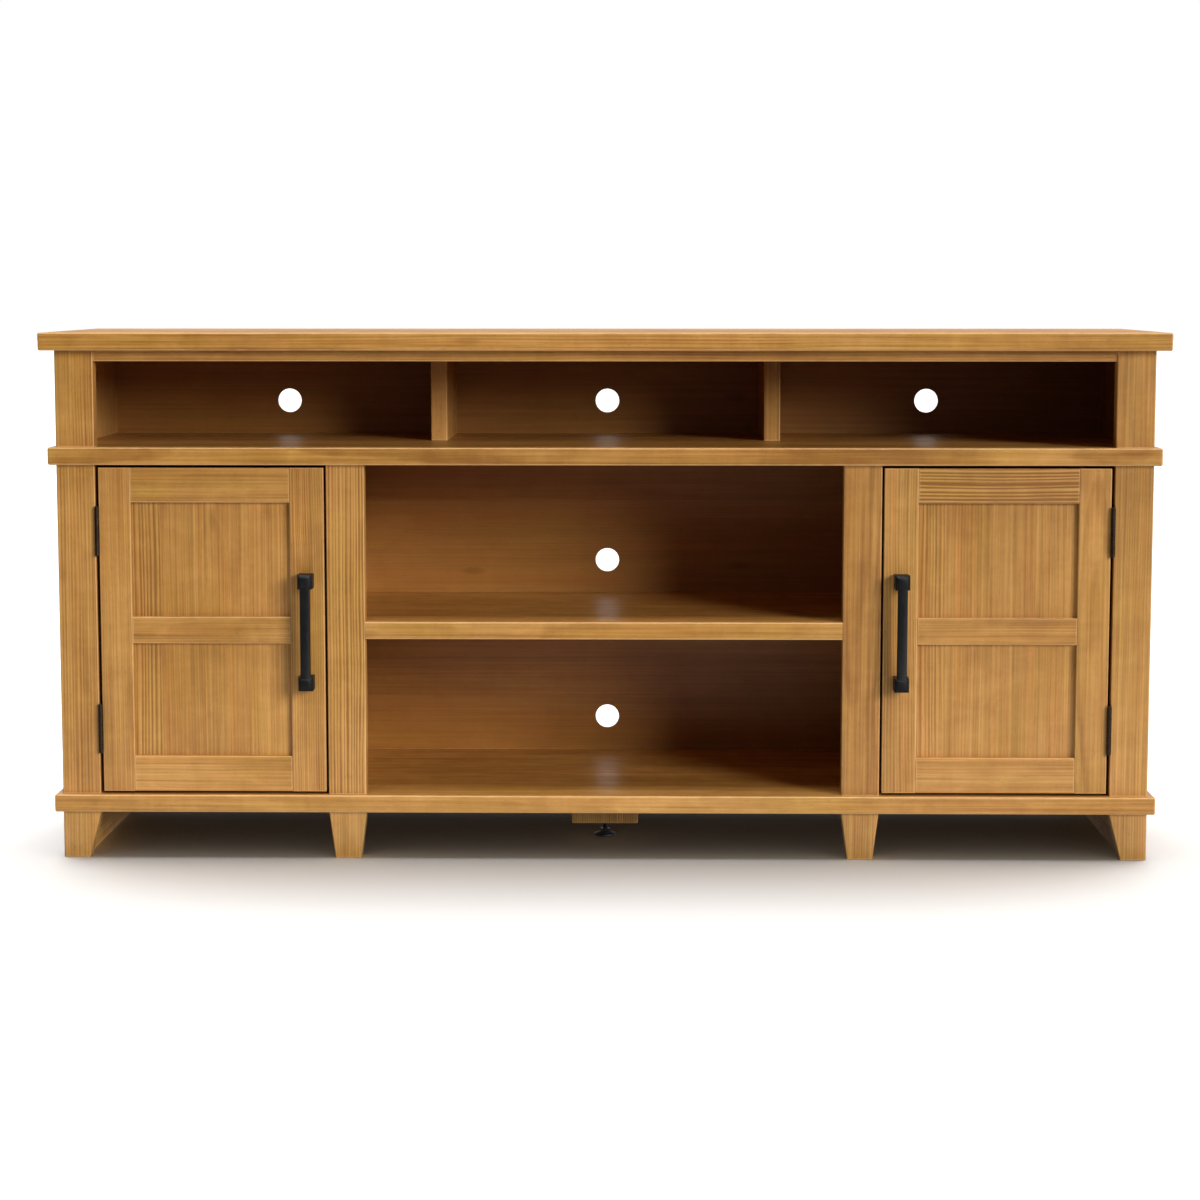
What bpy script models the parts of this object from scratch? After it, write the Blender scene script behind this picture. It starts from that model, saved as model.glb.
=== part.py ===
"""Low wooden media cabinet: three open cubbies over a centre bay and two doors.

Frame: +X to the viewer's right, +Y towards the back, +Z up, floor at Z = 0.
The origin is the middle of the footprint, handles included.  Metres.
"""

import math

import bmesh
import bpy
from mathutils import Matrix, Vector

# ----------------------------------------------------------------- dimensions
GAP = 0.0003              # fitting gap between touching pieces

FRONT = -0.1995           # front edge of the top board
TOP_HALF = 0.7620         # half length of the top board
TOP_DEPTH = 0.4115
TOP_Z0, TOP_Z1 = 0.6960, 0.7200

BOARD_HALF = 0.7535       # waist board and base board
BOARD_Y0 = FRONT + 0.0084
BOARD_Y1 = FRONT + 0.4050
WAIST_Z0, WAIST_Z1 = 0.5413, 0.5653
BASE_Z0, BASE_Z1 = 0.0645, 0.0887

FACE = FRONT + 0.0182     # plane of the posts' and doors' faces
POST_THICK = 0.0220
POST_BACK = FACE + POST_THICK
CORNER_IN, CORNER_OUT = 0.6915, 0.7437
MID_IN, MID_OUT = 0.3255, 0.3773

SIDE_IN = 0.7313          # side panels, inner face
PARTITION_IN = 0.3610
BACK_Y0, BACK_Y1 = FRONT + 0.3995, FRONT + 0.4045

APRON_Z0 = 0.6812
APRON_Y0 = FRONT + 0.0212
APRON_THICK = 0.0190

DIVIDER_IN, DIVIDER_OUT = 0.2240, 0.2470
DIVIDER_Y0 = FRONT + 0.1960

SHELF_Z0, SHELF_Z1 = 0.3032, 0.3271
SIDE_SHELF_Y0 = FRONT + 0.0620
SIDE_SHELF_Z0, SIDE_SHELF_Z1 = 0.3032, 0.3212

CABLE_HOLE_R = 0.0175
UPPER_HOLE_X = 0.4730
UPPER_HOLE_Z = 0.6137
LOWER_HOLE_Z = (0.3759, 0.1397)

FOOT_IN_BOTTOM = 0.7077   # corner foot, inner edge at the floor
MID_FOOT_IN, MID_FOOT_OUT = 0.3336, 0.3692
SIDE_FOOT_IN = 0.7126

BLOCK_HALF = 0.0470
BLOCK_Y0, BLOCK_Y1 = FRONT + 0.1530, FRONT + 0.2190
BLOCK_Z0 = 0.0230
STEM_Y = FRONT + 0.1860
STEM_R = 0.0040
STEM_BORE_R = 0.0044
PAD_R = 0.0157
PAD_Z0, PAD_Z1 = 0.0005, 0.0055

DOOR_LATCH, DOOR_HINGE = 0.3804, 0.6872   # |X| of the door's two long edges
DOOR_Z0, DOOR_Z1 = 0.0923, 0.5374
DOOR_THICK = 0.0200
LATCH_STILE_IN = 0.4272
HINGE_STILE_IN = 0.6434
TOP_RAIL_Z = 0.4898
MID_RAIL_Z0, MID_RAIL_Z1 = 0.2967, 0.3335
BOTTOM_RAIL_Z = 0.1413
PANEL_Y0, PANEL_Y1 = FACE + 0.0080, FACE + 0.0150
GROOVE_DEPTH = 0.0080
TENON = 0.0075

HINGE_X = 0.68915
HINGE_Y = FACE - 0.0034
HINGE_LEN = 0.0660
HINGE_Z = (0.4505, 0.1790)
KNUCKLE_R = 0.00305
KNUCKLE_BORE = 0.0017
PIN_R = 0.0014
PIN_HEAD_R = 0.0026
PIN_HEAD = 0.0016
LEAF_THICK = 0.0014
LEAF_BACK = FACE + 0.0180

HANDLE_X = 0.4043
HANDLE_Z = 0.3144
HANDLE_LEN = 0.1588
HANDLE_BLOCK = 0.0196
HANDLE_FRONT = -0.2120
HANDLE_CHAMFER = 0.0042
BAR_WIDTH = 0.0132
BAR_THICK = 0.0100
BAR_FRONT = HANDLE_FRONT + 0.0012

CATCH_Z0, CATCH_Z1 = 0.4280, 0.4680
CATCH_Y0, CATCH_Y1 = FACE + 0.0216, FACE + 0.0436
CATCH_WIDE = 0.0140

ARRIS = 0.0020            # rounding of the boards' edges

COL_WOOD = (0.47, 0.24, 0.075)
COL_WOOD_DARK = (0.40, 0.20, 0.06)
COL_PANEL = (0.45, 0.22, 0.065)
COL_BACK = (0.36, 0.17, 0.05)
COL_BLACK = (0.012, 0.012, 0.014)
COL_BRONZE = (0.035, 0.022, 0.014)
COL_STEEL = (0.55, 0.55, 0.56)
COL_RUBBER = (0.015, 0.015, 0.015)
COL_CATCH = (0.10, 0.06, 0.035)

# ---------------------------------------------------------------- clean start
for old in list(bpy.data.objects):
    bpy.data.objects.remove(old, do_unlink=True)

parts = bpy.data.collections.new("media_cabinet")
cutters = bpy.data.collections.new("media_cabinet_cutters")
bpy.context.scene.collection.children.link(parts)
bpy.context.scene.collection.children.link(cutters)


# -------------------------------------------------------------------- helpers
def material(name, color, rough, metal=0.0):
    mat = bpy.data.materials.new(name)
    mat.use_nodes = True
    shader = mat.node_tree.nodes["Principled BSDF"]
    shader.inputs["Base Color"].default_value = (*color, 1.0)
    shader.inputs["Roughness"].default_value = rough
    shader.inputs["Metallic"].default_value = metal
    mat.diffuse_color = (*color, 1.0)
    return mat


def link(ob, color=None, rough=0.4, metal=0.0, cutter=False):
    if cutter:
        cutters.objects.link(ob)
        ob.hide_render = True
        ob.display_type = "WIRE"
    else:
        parts.objects.link(ob)
        ob.data.materials.append(material(ob.name + "_mat", color, rough, metal))
    return ob


def box_mesh(name, size):
    bm = bmesh.new()
    bmesh.ops.create_cube(bm, size=1.0)
    bmesh.ops.scale(bm, vec=Vector(size), verts=bm.verts)
    mesh = bpy.data.meshes.new(name)
    bm.to_mesh(mesh)
    bm.free()
    return mesh


def box(name, x, y, z, origin=None, **look):
    """A box between two corners.  Its origin is its middle unless one is given."""
    x, y, z = sorted(x), sorted(y), sorted(z)
    mid = Vector(((x[0] + x[1]) / 2, (y[0] + y[1]) / 2, (z[0] + z[1]) / 2))
    mesh = box_mesh(name, (x[1] - x[0], y[1] - y[0], z[1] - z[0]))
    ob = bpy.data.objects.new(name, mesh)
    if origin is None:
        ob.location = mid
    else:
        mesh.transform(Matrix.Translation(mid - Vector(origin)))
        ob.location = origin
    return link(ob, **look)


def drum(name, radius, centre, z, sides, top_radius=None, origin=None, **look):
    """An upright cylinder (or cone frustum) between two heights."""
    bm = bmesh.new()
    bmesh.ops.create_cone(bm, cap_ends=True, segments=sides, radius1=radius,
                          radius2=radius if top_radius is None else top_radius,
                          depth=z[1] - z[0])
    mesh = bpy.data.meshes.new(name)
    bm.to_mesh(mesh)
    bm.free()
    mid = Vector((centre[0], centre[1], (z[0] + z[1]) / 2))
    ob = bpy.data.objects.new(name, mesh)
    if origin is None:
        ob.location = mid
    else:
        mesh.transform(Matrix.Translation(mid - Vector(origin)))
        ob.location = origin
    return link(ob, **look)


def rod_y(name, radius, centre, y, sides, **look):
    """A cylinder lying along Y."""
    bm = bmesh.new()
    bmesh.ops.create_cone(bm, cap_ends=True, segments=sides, radius1=radius,
                          radius2=radius, depth=y[1] - y[0],
                          matrix=Matrix.Rotation(math.pi / 2, 4, "X"))
    mesh = bpy.data.meshes.new(name)
    bm.to_mesh(mesh)
    bm.free()
    ob = bpy.data.objects.new(name, mesh)
    ob.location = (centre[0], (y[0] + y[1]) / 2, centre[1])
    return link(ob, **look)


def weigh(ob, wanted):
    """Marks the edges that the Bevel modifier rounds: wanted(middle, direction)."""
    bm = bmesh.new()
    bm.from_mesh(ob.data)
    layer = bm.edges.layers.float.new("bevel_weight_edge")
    for edge in bm.edges:
        a, b = edge.verts[0].co, edge.verts[1].co
        if wanted((a + b) / 2, (b - a).normalized()):
            edge[layer] = 1.0
    bm.to_mesh(ob.data)
    bm.free()


def rounded(ob, width=ARRIS, segments=2, wanted=None):
    mod = ob.modifiers.new("arris", "BEVEL")
    mod.width = width
    mod.segments = segments
    if wanted is None:
        mod.limit_method = "ANGLE"
        mod.angle_limit = math.radians(30)
    else:
        weigh(ob, wanted)
        mod.limit_method = "WEIGHT"
    return ob


def boolean(ob, other, operation="DIFFERENCE"):
    mod = ob.modifiers.new(operation.lower(), "BOOLEAN")
    mod.operation = operation
    mod.solver = "EXACT"
    mod.object = other
    return ob


def front_edges(axis):
    """The edges along one axis on the piece's front side."""
    return lambda mid, way: abs(way[axis]) > 0.99 and mid.y < 0


def pivot(name, location):
    ob = bpy.data.objects.new(name, None)
    ob.empty_display_size = 0.03
    ob.location = location
    parts.objects.link(ob)
    return ob


def hang(piece, empty):
    """Parents a piece to a pivot without moving it."""
    piece.parent = empty
    piece.location = Vector(piece.location) - Vector(empty.location)


def sides():
    return (("left", -1.0), ("right", 1.0))


WOOD = dict(color=COL_WOOD, rough=0.42)
WOOD_DARK = dict(color=COL_WOOD_DARK, rough=0.45)
PANEL = dict(color=COL_PANEL, rough=0.42)
BACK = dict(color=COL_BACK, rough=0.5)
BLACK = dict(color=COL_BLACK, rough=0.45, metal=0.6)
BRONZE = dict(color=COL_BRONZE, rough=0.4, metal=0.9)

# --------------------------------------------------------- horizontal boards
rounded(box("top_board", (-TOP_HALF, TOP_HALF), (FRONT, FRONT + TOP_DEPTH),
            (TOP_Z0, TOP_Z1), **WOOD))
rounded(box("waist_board", (-BOARD_HALF, BOARD_HALF), (BOARD_Y0, BOARD_Y1),
            (WAIST_Z0, WAIST_Z1), **WOOD))
rounded(box("base_board", (-BOARD_HALF, BOARD_HALF), (BOARD_Y0, BOARD_Y1),
            (BASE_Z0, BASE_Z1), **WOOD))

rounded(box("top_front_rail", (-CORNER_IN + GAP, CORNER_IN - GAP),
            (APRON_Y0, APRON_Y0 + APRON_THICK), (APRON_Z0, TOP_Z0 - GAP),
            **WOOD_DARK),
        wanted=lambda mid, way: abs(way.x) > 0.99 and mid.z < 0 and mid.y < 0)

# ------------------------------------------------------------ upright pieces
for side, s in sides():
    rounded(box("upper_post_" + side, (s * CORNER_IN, s * CORNER_OUT),
                (FACE, POST_BACK), (WAIST_Z1 + GAP, TOP_Z0 - GAP), **WOOD),
            wanted=front_edges(2))
    rounded(box("corner_post_" + side, (s * CORNER_IN, s * CORNER_OUT),
                (FACE, POST_BACK), (BASE_Z1 + GAP, WAIST_Z0 - GAP), **WOOD),
            wanted=front_edges(2))
    rounded(box("mid_post_" + side, (s * MID_IN, s * MID_OUT),
                (FACE, POST_BACK), (BASE_Z1 + GAP, WAIST_Z0 - GAP), **WOOD),
            wanted=front_edges(2))
    box("upper_side_" + side, (s * SIDE_IN, s * CORNER_OUT),
        (POST_BACK + GAP, BACK_Y1), (WAIST_Z1 + GAP, TOP_Z0 - GAP), **PANEL)
    box("side_panel_" + side, (s * SIDE_IN, s * CORNER_OUT),
        (POST_BACK + GAP, BACK_Y1), (BASE_Z1 + GAP, WAIST_Z0 - GAP), **PANEL)
    box("partition_" + side, (s * PARTITION_IN, s * MID_OUT),
        (POST_BACK + GAP, BACK_Y0 - GAP), (BASE_Z1 + GAP, WAIST_Z0 - GAP),
        **PANEL)
    rounded(box("divider_" + side, (s * DIVIDER_IN, s * DIVIDER_OUT),
                (DIVIDER_Y0, BACK_Y0 - GAP), (WAIST_Z1 + GAP, TOP_Z0 - GAP),
                **PANEL),
            wanted=front_edges(2))

# ---------------------------------------------------------------- back panels
inner = SIDE_IN - GAP
upper_back = box("upper_back_panel", (-inner, inner), (BACK_Y0, BACK_Y1),
                 (WAIST_Z1 + GAP, TOP_Z0 - GAP), **BACK)
lower_back = box("lower_back_panel", (-inner, inner), (BACK_Y0, BACK_Y1),
                 (BASE_Z1 + GAP, WAIST_Z0 - GAP), **BACK)
cut_y = (BACK_Y0 - 0.01, BACK_Y1 + 0.01)
for label, x in (("left", -UPPER_HOLE_X), ("centre", 0.0), ("right", UPPER_HOLE_X)):
    boolean(upper_back, rod_y("cut_upper_hole_" + label, CABLE_HOLE_R,
                              (x, UPPER_HOLE_Z), cut_y, 24, cutter=True))
for label, z in zip(("top", "bottom"), LOWER_HOLE_Z):
    boolean(lower_back, rod_y("cut_lower_hole_" + label, CABLE_HOLE_R,
                              (0.0, z), cut_y, 24, cutter=True))

# -------------------------------------------------------------------- shelves
shelf = rounded(box("centre_shelf", (-PARTITION_IN + GAP, PARTITION_IN - GAP),
                    (FACE, BACK_Y0 - GAP), (SHELF_Z0, SHELF_Z1), **WOOD),
                wanted=lambda mid, way: abs(way.x) > 0.99 and mid.y < 0)
for side, s in sides():
    boolean(shelf, box("cut_shelf_notch_" + side,
                       (s * (MID_IN - GAP), s * (PARTITION_IN + 0.01)),
                       (FACE - 0.01, POST_BACK + GAP),
                       (SHELF_Z0 - 0.01, SHELF_Z1 + 0.01), cutter=True))
    rounded(box("side_shelf_" + side,
                (s * (MID_OUT + 0.0007), s * (SIDE_IN - 0.0007)),
                (SIDE_SHELF_Y0, BACK_Y0 - 0.001), (SIDE_SHELF_Z0, SIDE_SHELF_Z1),
                **PANEL),
            width=0.0015,
            wanted=lambda mid, way: abs(way.x) > 0.99 and mid.y < 0)


# ----------------------------------------------------------------------- feet
def tapered(ob, x_in, x_out):
    """Moves the floor-side corners of a foot to their own X positions."""
    for vert in ob.data.vertices:
        if vert.co.z < 0:
            target = x_out if abs(vert.co.x + ob.location.x) > \
                abs(ob.location.x) else x_in
            vert.co.x = math.copysign(target, ob.location.x) - ob.location.x


for side, s in sides():
    foot = box("corner_foot_" + side, (s * CORNER_IN, s * CORNER_OUT),
               (FACE, POST_BACK), (0.0, BASE_Z0 - GAP), **WOOD)
    tapered(foot, FOOT_IN_BOTTOM, CORNER_OUT)
    rounded(foot, wanted=lambda mid, way: abs(way.z) > 0.9 and mid.y < 0)
    foot = box("mid_foot_" + side, (s * MID_IN, s * MID_OUT),
               (FACE, POST_BACK), (0.0, BASE_Z0 - GAP), **WOOD)
    tapered(foot, MID_FOOT_IN, MID_FOOT_OUT)
    rounded(foot, wanted=lambda mid, way: abs(way.z) > 0.9 and mid.y < 0)
    box("side_foot_" + side, (s * SIDE_FOOT_IN, s * CORNER_OUT),
        (POST_BACK + GAP, BACK_Y1), (0.0, BASE_Z0 - GAP), **PANEL)

# ------------------------------------------------- centre block and leveller
block = rounded(box("centre_block", (-BLOCK_HALF, BLOCK_HALF),
                    (BLOCK_Y0, BLOCK_Y1), (BLOCK_Z0, BASE_Z0 - GAP), **PANEL),
                width=0.0015, segments=1)
boolean(block, drum("cut_stem_bore", STEM_BORE_R, (0.0, STEM_Y),
                    (BLOCK_Z0 - 0.01, 0.0600), 16, cutter=True))

stem_axis = pivot("leveller_axis", (0.0, STEM_Y, 0.0))
stem = drum("leveller_stem", STEM_R, (0.0, STEM_Y), (PAD_Z1 + GAP, 0.0440), 16,
            origin=(0.0, STEM_Y, 0.0), color=COL_STEEL, rough=0.35, metal=1.0)
boolean(stem, drum("join_stem_nut", 0.0075, (0.0, STEM_Y),
                   (PAD_Z1 + GAP, PAD_Z1 + 0.0048), 6, cutter=True), "UNION")
hang(stem, stem_axis)
pad = drum("leveller_pad", PAD_R, (0.0, STEM_Y), (PAD_Z0, PAD_Z1), 32,
           top_radius=PAD_R - 0.0006, origin=(0.0, STEM_Y, 0.0),
           color=COL_RUBBER, rough=0.7)
hang(pad, stem_axis)


# ---------------------------------------------------------------------- doors
def door(side, s):
    axis = pivot("door_axis_" + side, (s * HINGE_X, HINGE_Y, 0.0))
    back = FACE + DOOR_THICK
    groove_y = (PANEL_Y0 - GAP, PANEL_Y1 + GAP)

    latch = rounded(box("door_latch_stile_" + side,
                        (s * DOOR_LATCH, s * LATCH_STILE_IN), (FACE, back),
                        (DOOR_Z0, DOOR_Z1), **WOOD), wanted=front_edges(2))
    boolean(latch, box("cut_latch_groove_" + side,
                       (s * (LATCH_STILE_IN - GROOVE_DEPTH),
                        s * (LATCH_STILE_IN + 0.01)), groove_y,
                       (DOOR_Z0 - 0.01, DOOR_Z1 + 0.01), cutter=True))
    hinge = rounded(box("door_hinge_stile_" + side,
                        (s * HINGE_STILE_IN, s * DOOR_HINGE), (FACE, back),
                        (DOOR_Z0, DOOR_Z1), **WOOD), wanted=front_edges(2))
    boolean(hinge, box("cut_hinge_groove_" + side,
                       (s * (HINGE_STILE_IN - 0.01),
                        s * (HINGE_STILE_IN + GROOVE_DEPTH)), groove_y,
                       (DOOR_Z0 - 0.01, DOOR_Z1 + 0.01), cutter=True))

    x_rail = (s * (LATCH_STILE_IN + GAP), s * (HINGE_STILE_IN - GAP))
    x_tenon = (s * (LATCH_STILE_IN - TENON), s * (HINGE_STILE_IN + TENON))
    top = rounded(box("door_top_rail_" + side, x_rail, (FACE, back),
                      (TOP_RAIL_Z, DOOR_Z1), **WOOD), wanted=front_edges(0))
    boolean(top, box("join_top_tenon_" + side, x_tenon, (PANEL_Y0, PANEL_Y1),
                     (TOP_RAIL_Z + GROOVE_DEPTH, DOOR_Z1 - 0.0004),
                     cutter=True), "UNION")
    boolean(top, box("cut_top_groove_" + side,
                     (x_rail[0] - s * 0.02, x_rail[1] + s * 0.02), groove_y,
                     (TOP_RAIL_Z - 0.01, TOP_RAIL_Z + GROOVE_DEPTH),
                     cutter=True))
    bottom = rounded(box("door_bottom_rail_" + side, x_rail, (FACE, back),
                         (DOOR_Z0, BOTTOM_RAIL_Z), **WOOD),
                     wanted=front_edges(0))
    boolean(bottom, box("join_bottom_tenon_" + side, x_tenon,
                        (PANEL_Y0, PANEL_Y1),
                        (DOOR_Z0 + 0.0004, BOTTOM_RAIL_Z - GROOVE_DEPTH),
                        cutter=True), "UNION")
    boolean(bottom, box("cut_bottom_groove_" + side,
                        (x_rail[0] - s * 0.02, x_rail[1] + s * 0.02), groove_y,
                        (BOTTOM_RAIL_Z - GROOVE_DEPTH, BOTTOM_RAIL_Z + 0.01),
                        cutter=True))
    mid = rounded(box("door_mid_rail_" + side, x_rail,
                      (FACE, PANEL_Y0 - GAP), (MID_RAIL_Z0, MID_RAIL_Z1),
                      **WOOD), wanted=front_edges(0))
    panel = box("door_panel_" + side, x_tenon, (PANEL_Y0, PANEL_Y1),
                (BOTTOM_RAIL_Z - TENON, TOP_RAIL_Z + TENON), **PANEL)

    # bar pull: two square end blocks with chamfered faces and a bar between
    low, high = HANDLE_Z - HANDLE_LEN / 2, HANDLE_Z + HANDLE_LEN / 2
    half = HANDLE_BLOCK / 2
    handle = rounded(box("handle_" + side,
                         (s * HANDLE_X - half, s * HANDLE_X + half),
                         (HANDLE_FRONT, FACE - GAP), (high - HANDLE_BLOCK, high),
                         **BLACK), width=HANDLE_CHAMFER, segments=1,
                     wanted=lambda m, way: abs(way.y) < 0.01 and m.y < 0)
    other = rounded(box("join_handle_block_" + side,
                        (s * HANDLE_X - half, s * HANDLE_X + half),
                        (HANDLE_FRONT, FACE - GAP), (low, low + HANDLE_BLOCK),
                        cutter=True), width=HANDLE_CHAMFER, segments=1,
                    wanted=lambda m, way: abs(way.y) < 0.01 and m.y < 0)
    bar = rounded(box("join_handle_bar_" + side,
                      (s * HANDLE_X - BAR_WIDTH / 2, s * HANDLE_X + BAR_WIDTH / 2),
                      (BAR_FRONT, BAR_FRONT + BAR_THICK),
                      (low + HANDLE_BLOCK / 2, high - HANDLE_BLOCK / 2),
                      cutter=True), width=0.0012, segments=1,
                  wanted=lambda m, way: abs(way.z) > 0.99)
    boolean(handle, bar, "UNION")
    boolean(handle, other, "UNION")

    for piece in (latch, hinge, top, bottom, mid, panel, handle):
        hang(piece, axis)
    return axis


# --------------------------------------------------------------------- hinges
def leaf(name, s, x_plate, z_mid, own, origin):
    """A flat leaf with its share of the five knuckles, bored for the pin."""
    z0 = z_mid - HINGE_LEN / 2
    step = HINGE_LEN / 5
    plate = box(name, x_plate, (HINGE_Y + 0.0034, LEAF_BACK),
                (z0, z0 + HINGE_LEN), origin=origin, **BRONZE)
    for k in own:
        za, zb = z0 + k * step + GAP / 2, z0 + (k + 1) * step - GAP / 2
        if k == 0:
            za = z0
        if k == 4:
            zb = z0 + HINGE_LEN
        boolean(plate, box("join_%s_tab_%d" % (name, k), x_plate,
                           (HINGE_Y + 0.0019, HINGE_Y + 0.0060), (za, zb),
                           cutter=True), "UNION")
        boolean(plate, drum("join_%s_knuckle_%d" % (name, k), KNUCKLE_R,
                            (s * HINGE_X, HINGE_Y), (za, zb), 12,
                            cutter=True), "UNION")
    boolean(plate, drum("cut_%s_bore" % name, KNUCKLE_BORE,
                        (s * HINGE_X, HINGE_Y),
                        (z0 - 0.01, z0 + HINGE_LEN + 0.01), 12, cutter=True))
    return plate


for side, s in sides():
    axis = door(side, s)
    for place, z_mid in zip(("upper", "lower"), HINGE_Z):
        origin = (s * HINGE_X, HINGE_Y, 0.0)
        post_face = CORNER_IN - GAP
        leaf("hinge_%s_%s_post_leaf" % (place, side), s,
             (s * (post_face - LEAF_THICK), s * post_face), z_mid, (0, 2, 4),
             origin)
        door_face = DOOR_HINGE + GAP
        swing = leaf("hinge_%s_%s_door_leaf" % (place, side), s,
                     (s * door_face, s * (door_face + LEAF_THICK)), z_mid,
                     (1, 3), origin)
        hang(swing, axis)
        z0, z1 = z_mid - HINGE_LEN / 2, z_mid + HINGE_LEN / 2
        pin = drum("hinge_%s_%s_pin" % (place, side), PIN_R,
                   (s * HINGE_X, HINGE_Y), (z0 - 0.0010, z1 + GAP + 0.0004), 12,
                   origin=origin, **BRONZE)
        boolean(pin, drum("join_pin_head_%s_%s" % (place, side), PIN_HEAD_R,
                          (s * HINGE_X, HINGE_Y),
                          (z1 + GAP, z1 + GAP + PIN_HEAD), 12,
                          top_radius=0.0015, cutter=True), "UNION")

    # magnetic catch on the partition, behind the latch stile
    rounded(box("catch_" + side, (s * (MID_OUT + GAP), s * (MID_OUT + CATCH_WIDE)),
                (CATCH_Y0, CATCH_Y1), (CATCH_Z0, CATCH_Z1), color=COL_CATCH,
                rough=0.5), width=0.0010, segments=1)
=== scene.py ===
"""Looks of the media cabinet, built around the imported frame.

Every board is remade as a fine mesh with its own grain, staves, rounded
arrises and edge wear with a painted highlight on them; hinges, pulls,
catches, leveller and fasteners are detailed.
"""

import math
import random
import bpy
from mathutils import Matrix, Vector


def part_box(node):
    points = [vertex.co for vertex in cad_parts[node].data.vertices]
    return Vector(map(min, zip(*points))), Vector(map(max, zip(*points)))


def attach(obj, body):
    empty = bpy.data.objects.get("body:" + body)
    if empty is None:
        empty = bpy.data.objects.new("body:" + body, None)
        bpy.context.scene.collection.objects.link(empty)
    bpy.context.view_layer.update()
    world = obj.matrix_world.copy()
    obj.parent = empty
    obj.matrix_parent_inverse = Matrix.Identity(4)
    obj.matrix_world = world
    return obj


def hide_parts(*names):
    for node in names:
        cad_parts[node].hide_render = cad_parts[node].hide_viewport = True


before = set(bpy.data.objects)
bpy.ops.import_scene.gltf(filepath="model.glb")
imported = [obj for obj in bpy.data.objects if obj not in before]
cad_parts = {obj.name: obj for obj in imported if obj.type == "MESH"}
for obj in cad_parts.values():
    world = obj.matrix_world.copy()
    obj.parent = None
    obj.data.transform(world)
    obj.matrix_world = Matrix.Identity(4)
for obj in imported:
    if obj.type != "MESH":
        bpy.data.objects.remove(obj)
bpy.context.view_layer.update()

import zlib

import bmesh
import bpy
from mathutils import Matrix, Vector

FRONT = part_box("top_board")[0].y
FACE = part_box("corner_post_left")[0].y
GAP = 0.0003
SIDES = (("left", -1.0), ("right", 1.0))
X, Y, Z = 0, 1, 2

# ----------------------------------------------------------------- the camera
cam_data = bpy.data.cameras.new("camera")
cam_data.lens = 83.657
cam_data.sensor_width = 36.0
cam_data.clip_start = 0.05
cam_data.clip_end = 200.0
camera = bpy.data.objects.new("camera", cam_data)
camera.location = (0.0571, FRONT - 3.7536, 0.7775)
camera.rotation_euler = (math.radians(90.0 - 6.35), 0.0, math.radians(0.94))
bpy.context.scene.collection.objects.link(camera)
bpy.context.scene.camera = camera
bpy.context.scene.view_settings.view_transform = "Standard"


# ------------------------------------------------------------- small helpers
def seeded(word):
    return random.Random(zlib.crc32(word.encode()))


def new_object(name, mesh):
    ob = bpy.data.objects.new(name, mesh)
    bpy.context.scene.collection.objects.link(ob)
    return ob


def baked(ob):
    """Applies every modifier of a mesh object, keeping its custom normals."""
    bpy.context.view_layer.update()
    graph = bpy.context.evaluated_depsgraph_get()
    mesh = bpy.data.meshes.new_from_object(ob.evaluated_get(graph),
                                           preserve_all_data_layers=True,
                                           depsgraph=graph)
    old = ob.data
    ob.modifiers.clear()
    ob.data = mesh
    bpy.data.meshes.remove(old)
    mesh.name = ob.name
    return ob


def temp_object(name, bm):
    mesh = bpy.data.meshes.new(name)
    bm.to_mesh(mesh)
    bm.free()
    return new_object(name, mesh)


def cut_with(ob, cutters, operation="DIFFERENCE"):
    for cutter in cutters:
        mod = ob.modifiers.new("bool", "BOOLEAN")
        mod.operation = operation
        mod.solver = "EXACT"
        mod.object = cutter
    baked(ob)
    for cutter in cutters:
        mesh = cutter.data
        bpy.data.objects.remove(cutter, do_unlink=True)
        bpy.data.meshes.remove(mesh)
    return ob


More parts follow.
